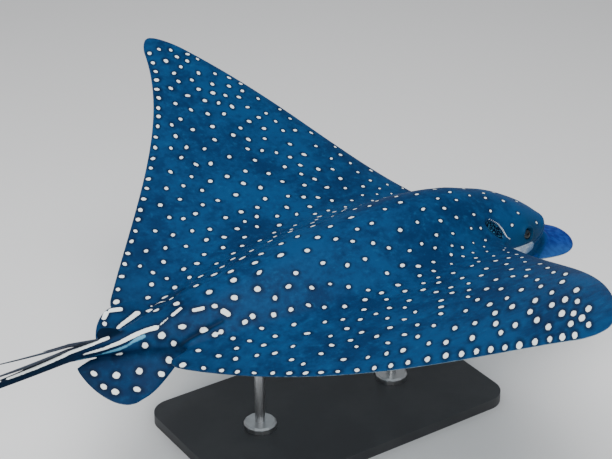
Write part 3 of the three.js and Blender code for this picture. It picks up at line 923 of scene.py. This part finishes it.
owner, corners = np.array([(f.index, loop.vert.index) for f in skin_bm.faces for loop in f.loops]).T
corner_co = flat[corners]
x, u, h = corner_co.T
on_tail = middles[:, 0] < tail_from
below = np.where(on_tail, middles[:, 2] < tail_height, middles[:, 2] < 0)
for name in (1, -1, "bill"):
    below = np.where(from_source[name], face_normals[:, 2] < 0, below)
down = below[owner]
strip = np.floor((tail_from - middles[:, 0]) / tail_strip).clip(0, 3)[owner]
strip_middle = 1.37 + strip_height * (2 * strip + down)
charts = {
    "back": (0.95 + girth(corner_co, trunk_rows[:, 2]), 1.03 + x),
    "belly": (0.42 + belly_scale * girth(corner_co, -trunk_rows[:, 3]), 1.34 + belly_scale * (1 + x)),
    "tail": (0.88 + tail_from - x - tail_strip * strip, strip_middle + tail_turn(corner_co, down)),
    "bill": (mix(1.1, 1.36, down) + bill_scale * (x - 0.07), 1.81 + bill_scale * u),
    "dorsal": (0.9 + 0.1 * (u > 0) + 0.95 + x, 1.76 + h),
}
chart = np.where(down, charts["belly"], charts["back"])
on_dorsal = from_source["dorsal"] & ~on_tail
for name, chosen in (("tail", on_tail), ("bill", from_source["bill"]), ("dorsal", on_dorsal)):
    chart = np.where(chosen[owner], charts[name], chart)
for loop, place in zip((loop for f in skin_bm.faces for loop in f.loops), chart.T / map_side):
    loop[uv_layer].uv = place

move_to(skin_bm, pose(flat))
bmesh.ops.recalc_face_normals(skin_bm, faces=skin_bm.faces)
skin = to_object("skin", skin_bm)
skin.data.shade_smooth()


def write(name, domain, values):
    kind, field = ("FLOAT", "value") if values.ndim == 1 else ("FLOAT_VECTOR", "vector")
    layer = skin.data.attributes.new(name, kind, domain)
    layer.data.foreach_set(field, values.astype(np.float32).ravel())


for name, values in {"plan": flat, **written}.items():
    write(name, "POINT", values)
for name, values in {"spot_at": spots, "spot_size": radii, "spot_axis": axes}.items():
    write(name, "FACE", values[nearest])

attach(skin, "root")
flesh = ["head", "rostral_lobe", "trunk", "wing_left", "wing_right", "pelvic_fin_left", "pelvic_fin_right",
         "dorsal_fin", "tail_1", "tail_2", "tail_3", "tail_4", "tail_5"]
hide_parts(*flesh)

# --------------------
# The skin's paint: deep blue to teal, darker round every white spot, white below with a dusky
# margin, and a trace of clear coat like wet skin over a fine grain.


class Wire:
    """A node's output, or a number worked out from others by Math nodes."""

    def __init__(self, paint, socket):
        self.paint = paint
        self.socket = socket

    def math(self, operation, *others, reverse=False):
        values = [self, *others]
        if reverse:
            values.reverse()
        return self.paint.node("ShaderNodeMath", {"operation": operation}, dict(enumerate(values)))

    def __add__(self, other):
        return self.math("ADD", other)

    __radd__ = __add__

    def __mul__(self, other):
        return self.math("MULTIPLY", other)

    __rmul__ = __mul__

    def __sub__(self, other):
        return self.math("SUBTRACT", other)

    def __rsub__(self, other):
        return self.math("SUBTRACT", other, reverse=True)

    def step(self, low, high):
        """0 below low, 1 above high, with a smooth run between them; the limits may be wires."""
        return self.paint.node(
            "ShaderNodeMapRange", {"interpolation_type": "SMOOTHSTEP"},
            {"Value": self, "From Min": low, "From Max": high})


class Paint:
    """A material built round one Principled shader."""

    def __init__(self, name, **constants):
        self.material = bpy.data.materials.new(name)
        self.material.use_nodes = True
        self.tree = self.material.node_tree
        self.shader = self.tree.nodes["Principled BSDF"]
        for key, value in constants.items():
            self.shader.inputs[key.replace("_", " ")].default_value = value

    def node(self, kind, settings=None, values=None, output=0):
        made = self.tree.nodes.new(kind)
        for key, value in (settings or {}).items():
            setattr(made, key, value)
        for key, value in (values or {}).items():
            self.feed(made.inputs[key], value)
        return Wire(self, made.outputs[output])

    def feed(self, socket, value):
        if isinstance(value, Wire):
            self.tree.links.new(value.socket, socket)
        else:
            socket.default_value = (*value, 1.0) if socket.type == "RGBA" else value

    def set(self, name, value):
        self.feed(self.shader.inputs[name], value)

    def layered(self, tint, *layers):
        """A colour with others laid over it in turn, each by its own share from 0 to 1."""
        for share, other in layers:
            tint = self.node("ShaderNodeMix", {"data_type": "RGBA"}, {0: share, 6: tint, 7: other}, 2)
        return tint

    def vector(self, operation, *values, output=0):
        return self.node("ShaderNodeVectorMath", {"operation": operation}, dict(enumerate(values)), output)

    def attribute(self, name, output="Fac"):
        return self.node("ShaderNodeAttribute", {"attribute_name": name}, output=output)

    def part(self, place, axis):
        return self.node("ShaderNodeSeparateXYZ", None, {0: place}, axis)

    def noise(self, place, scale, detail=2.0, roughness=0.5):
        return self.node("ShaderNodeTexNoise", None, {
            "Vector": place, "Scale": scale, "Detail": detail, "Roughness": roughness})

    def relief(self, height, distance, strength=1.0):
        self.set("Normal", self.node("ShaderNodeBump", None, {
            "Height": height, "Distance": distance, "Strength": strength}))


wet = Paint("wet_skin", Specular_IOR_Level=0.04, Coat_Roughness=0.3)
plan = wet.attribute("plan", "Vector")
forward = wet.part(plan, 0)
sideways = wet.part(plan, 1).math("ABSOLUTE")
cloud = wet.noise(plan, 5.5, 3.0, 0.55)
patch = wet.noise(plan, 26.0, 3.0, 0.6)
mottle = wet.noise(plan, 75.0, 4.0, 0.65)
grain = wet.noise(plan, 900.0, 3.0, 0.6)
wrinkles = wet.noise(plan, 120.0, 4.0, 0.6)
wobble = wet.noise(plan, 190.0, 1.0) - 0.5

# The white marks. Distance along a spot's axis counts for less, so the spot comes out oval.
away = wet.vector("SUBTRACT", plan, wet.attribute("spot_at", "Vector"))
squared = wet.vector("DOT_PRODUCT", away, away, output=1)
lengthwise = wet.vector("DOT_PRODUCT", away, wet.attribute("spot_axis", "Vector"), output=1)
from_spot = (squared - lengthwise * lengthwise).math("MAXIMUM", 0.0).math("SQRT") + wobble * 0.0026
spot_size = wet.attribute("spot_size")
spot = 1 - from_spot.step(spot_size * 0.84, spot_size * 1.1)
spot_halo = 1 - from_spot.step(spot_size * 1.0, spot_size * 2.8)
from_stroke = wet.attribute("stroke") + wobble * 0.0018
stroke = 1 - from_stroke.step(-0.0006, 0.0006)
halo = spot_halo.math("MAXIMUM", 1 - from_stroke.step(0.0, 0.011))
sheen_band = 1 - (wet.attribute("sheen_band") + wobble * 0.002).step(-0.0008, 0.0012)
marks = (spot * (1 - forward.step(0.128, 0.134))).math("MAXIMUM", stroke)

# The bill: brighter blue above, paler below.
on_bill = wet.attribute("ahead").step(-0.003, 0.004)
bill_tone = wet.noise(plan, 70.0, 3.0).step(0.4, 0.62)
bill_blue = wet.layered(
    (0.003, 0.022, 0.175), (bill_tone, (0.008, 0.05, 0.26)),
    (sideways.step(0.04, 0.08) * 0.38, (0.04, 0.15, 0.37)))
bill_pale = wet.layered((0.17, 0.31, 0.47), (bill_tone, (0.22, 0.36, 0.51)))

# The dark back, from its ground tint to the marks, the painted shade in the spiracle's pit and its white
# lip.
white = (0.86, 0.92, 0.9)
tone = cloud * 0.45 + patch * 0.3 + mottle * 0.25
# Painted shade: the spiracle's pit is painted near black for the depth of the opening, with paler blue
# mottles.
pit_mottle = wet.noise(plan, 260.0, 2.0).step(0.52, 0.62)
pit_shade_and_mottle = wet.layered((0.0008, 0.006, 0.022), (pit_mottle * 0.6, (0.05, 0.2, 0.36)))
upper = wet.layered(
    (0.0018, 0.022, 0.076),
    (tone.step(0.4, 0.6), (0.0034, 0.046, 0.136)),
    (mottle.step(0.56, 0.74) * 0.35, (0.008, 0.08, 0.19)),
    (forward.step(-0.03, 0.12) * 0.42, (0.003, 0.07, 0.22)),
    # Painted shade: darker over the rear of the body and the pelvic fins.
    ((1 - forward.step(-0.84, -0.66)) * 0.35, (0.001, 0.012, 0.04)),
    (wet.attribute("cheek") * (0.45 + mottle * 0.5), (0.0014, 0.021, 0.04)),
    (halo * 0.78, (0.001, 0.0065, 0.024)),
    # The darker tail root and dorsal fin, and the painted shade in the groove at each wing's rear corner.
    (wet.attribute("darkening_and_groove_shade") * 0.85, (0.0012, 0.0075, 0.02)),
    (on_bill, bill_blue),
    # Painted sheen: the pale blue band on the tail's root.
    (sheen_band, (0.09, 0.3, 0.46)),
    (marks, white),
    (wet.attribute("pit").step(0.15, 0.65), pit_shade_and_mottle),
    (1 - wet.attribute("lip").step(-0.0003, 0.0006), white))

# The white underside, dusky at the margin, with painted shade: mid blue in the gape, mottled and deeper
# towards the front, and dark in the gill slits.
over = wet.attribute("over")
# Painted shade: the gape is painted mid blue over the white, mottled and deeper towards the front.
gape = 0.3 + mottle.step(0.4, 0.54) * 0.3 + forward.step(0.055, 0.115) * 0.4
belly = wet.layered(
    (0.6, 0.69, 0.74), (patch.step(0.35, 0.7), (0.76, 0.81, 0.82)),
    (wet.attribute("gape") * gape, (0.045, 0.15, 0.33)),
    (on_bill, bill_pale))
lower = wet.layered(
    (0.16, 0.26, 0.34), ((over * -1.0).step(0.0008, 0.0035), belly),
    # Painted shade: the gill slits are painted dark.
    (1 - wet.attribute("gill").step(0.001, 0.0026), (0.1, 0.09, 0.1)))

back = (over + (mottle - 0.5) * 0.003).step(-0.0008, 0.0008)
# Painted highlight: a brighter blue along the strap that folds round the bill's root.
fold = 1 - wet.attribute("fold").step(0.0015, 0.005)
wet.set("Base Color", wet.layered(lower, (back, upper), (fold * 0.85, (0.006, 0.055, 0.26))))
wet.set("Roughness", 0.44 + 0.12 * patch + 0.05 * marks)
wet.set("Coat Weight", 0.01 + 0.02 * grain)
wet.relief(grain * 0.25 + wrinkles * 0.5 + marks * 0.35, 0.0009, 0.5)
skin.data.materials.append(wet.material)

# --------------------
# The eyes: glass balls with a very dark blue iris round a wide black pupil, set in the sockets.

glass = Paint("eye_glass", Roughness=0.14, Coat_Roughness=0.05, Specular_IOR_Level=0.3)
ball_place = glass.attribute("ball", "Vector")
sideways, upways = glass.part(ball_place, 0), glass.part(ball_place, 1)
from_axis = (sideways * sideways * 0.55 + upways * upways).math("SQRT")
fibre = glass.noise(ball_place, 900.0, 3.0)
iris = glass.layered((0.004, 0.01, 0.018), (fibre, (0.016, 0.028, 0.034)))
glass.set("Base Color", glass.layered(
    (0.001, 0.001, 0.002), (from_axis.step(0.005, 0.0056), iris),
    (from_axis.step(0.0085, 0.01), (0.004, 0.012, 0.022))))
glass.set("Coat Weight", 0.12 + 0.08 * fibre)


def keep_places(bm, name, places):
    """Writes where each vertex lay before it was posed, for the paint to follow."""
    layer = bm.verts.layers.float_vector.new(name)
    for v, p in zip(bm.verts, places):
        v[layer] = Vector(p)


for side, name in ((1, "left"), (-1, "right")):
    eye_bm = bmesh.new()
    bmesh.ops.create_uvsphere(eye_bm, u_segments=48, v_segments=32, radius=eye_radius)
    ball = points_of(eye_bm)
    ball[:, 2] += 0.0012 * bell(np.hypot(ball[:, 0], ball[:, 1]), 0.006) * (ball[:, 2] > 0)
    outward = Vector((eye_axis[0], side * eye_axis[1], eye_axis[2]))
    turn = outward.to_track_quat("Z", "Y").to_matrix()
    centre = Vector(pose_wing(np.array([[eye_centre[0], side * eye_centre[1], eye_centre[2]]]))[0])
    keep_places(eye_bm, "ball", ball)
    move_to(eye_bm, [turn @ Vector(p) + centre + Vector((body_forward, 0, body_rise)) for p in ball])
    eye = to_object("eyeball_" + name, eye_bm)
    eye.data.shade_smooth()
    eye.data.materials.append(glass.material)
    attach(eye, "root")
    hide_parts("eye_" + name)

# --------------------
# The tail spines: four long flattened barbs with a grooved back and fine teeth along both edges.

spine_rows = [
    {"root": -0.94, "length": 0.122, "height": 0.013, "rise": 0.026},
    {"root": -0.958, "length": 0.228, "height": 0.013, "rise": 0.03},
    {"root": -0.985, "length": 0.22, "height": 0.012, "rise": 0.014},
    {"root": -1.03, "length": 0.165, "height": 0.01, "rise": 0.003},
]
spine_width, spine_tip, spine_flatness, spine_aside = 0.007, 0.0016, 0.7, 0.009
spine_teeth, tooth_depth = 46, 0.16

horn = Paint("horn", Specular_IOR_Level=0.4)
drawn_long = horn.vector("MULTIPLY", horn.attribute("plan", "Vector"), (40.0, 900.0, 900.0))
streaks = horn.noise(drawn_long, 1.0, 3.0)
horn.set("Base Color", horn.layered((0.006, 0.01, 0.022), (streaks.step(0.35, 0.7), (0.02, 0.034, 0.06))))
horn.set("Roughness", 0.42 + 0.2 * streaks)
horn.relief(streaks, 0.0004, 0.6)

for i, row in enumerate(spine_rows):
    aside = spine_aside * (1 if i % 2 else -1)

    def spine_place(share, turn):
        half_width = mix(spine_width, spine_tip, share**1.3) / 2
        teeth = 1 + tooth_depth * ease(share, 0.25, 0.4) * np.abs(((share * spine_teeth) % 1) - 1)
        point = np.minimum(1, (1 - share) / 0.04 + 0.12)
        groove = 1 - 0.35 * bell(turn - 0.25, 0.05)
        across = np.cos(2 * np.pi * turn) * half_width * teeth * point
        rise = np.sin(2 * np.pi * turn) * half_width * spine_flatness * groove * point
        return np.stack([
            row["root"] - row["length"] * share, aside * share + across,
            tail_height + row["height"] + row["rise"] * share + rise], 1)

    spine_bm = rolled(184, 14, spine_place)
    flat_spine = points_of(spine_bm)
    keep_places(spine_bm, "plan", flat_spine)
    move_to(spine_bm, pose(flat_spine))
    bmesh.ops.recalc_face_normals(spine_bm, faces=spine_bm.faces)
    spine = to_object(f"tail_spine_{i + 1}", spine_bm)
    spine.data.shade_smooth()
    spine.data.materials.append(horn.material)
    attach(spine, "root")

# --------------------
# The stand: a heavy steel base plate in satin charcoal paint, and two turned rods with flanged
# feet in brushed stainless steel that go up into the belly.

painted = Paint("charcoal_paint", Specular_IOR_Level=0.45)
where = painted.node("ShaderNodeTexCoord", output="Object")
orange_peel = painted.noise(where, 420.0, 2.0)
scuffs = painted.noise(where, 9.0, 4.0, 0.6)
painted.set("Base Color", painted.layered(
    (0.022, 0.024, 0.028), (scuffs.step(0.4, 0.7), (0.034, 0.036, 0.04))))
painted.set("Roughness", 0.36 + 0.22 * scuffs)
painted.relief(orange_peel, 0.0003, 0.35)

brushed = Paint("brushed_steel", Metallic=1.0)
rod_place = brushed.node("ShaderNodeTexCoord", output="Object")
rings = brushed.noise(brushed.vector("MULTIPLY", rod_place, (60.0, 60.0, 2600.0)), 1.0, 2.0)
stain = brushed.noise(rod_place, 30.0, 3.0)
brushed.set("Base Color", brushed.layered((0.42, 0.43, 0.44), (rings, (0.6, 0.61, 0.62))))
brushed.set("Roughness", 0.22 + 0.14 * rings + 0.08 * stain)
brushed.relief(rings, 0.0002, 0.25)

for node, paint in (("stand_base", painted), ("stand_rod_front", brushed), ("stand_rod_rear", brushed)):
    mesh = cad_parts[node].data
    mesh.materials.clear()
    mesh.materials.append(paint.material)

# --------------------
# The studio: a pale floor, a pale surround, a large soft light overhead and a smaller one in front.

floor_bm = bmesh.new()
bmesh.ops.create_grid(floor_bm, x_segments=1, y_segments=1, size=40)
floor = to_object("floor", floor_bm)

surround = bpy.data.worlds.new("surround")
surround.use_nodes = True
backdrop = surround.node_tree.nodes["Background"]
backdrop.inputs["Color"].default_value = (0.8, 0.82, 0.85, 1.0)
backdrop.inputs["Strength"].default_value = 0.45
bpy.context.scene.world = surround

camera = bpy.data.cameras.new("camera")
camera.lens = 97.35
camera.sensor_width = 36
camera_object = in_scene("camera", camera)
camera_object.location = (-1.749, -2.511, 2.052)
camera_object.rotation_euler = Vector((0.494, 0.735, -0.464)).to_track_quat("-Z", "Y").to_euler()
bpy.context.scene.camera = camera_object


def softbox(name, place, target, size, power):
    light = bpy.data.lights.new(name, "AREA")
    light.shape = "RECTANGLE"
    light.size, light.size_y = size
    light.energy = power
    lamp = in_scene(name, light)
    lamp.location = place
    lamp.rotation_euler = (Vector(target) - Vector(place)).to_track_quat("-Z", "Y").to_euler()


softbox("overhead", (-0.6, -0.2, 3.4), (0, 0, 0.4), (3.0, 3.0), 155)
softbox("front_fill", (-1.2, -3.0, 1.6), (0, 0, 0.4), (2.0, 1.5), 42)
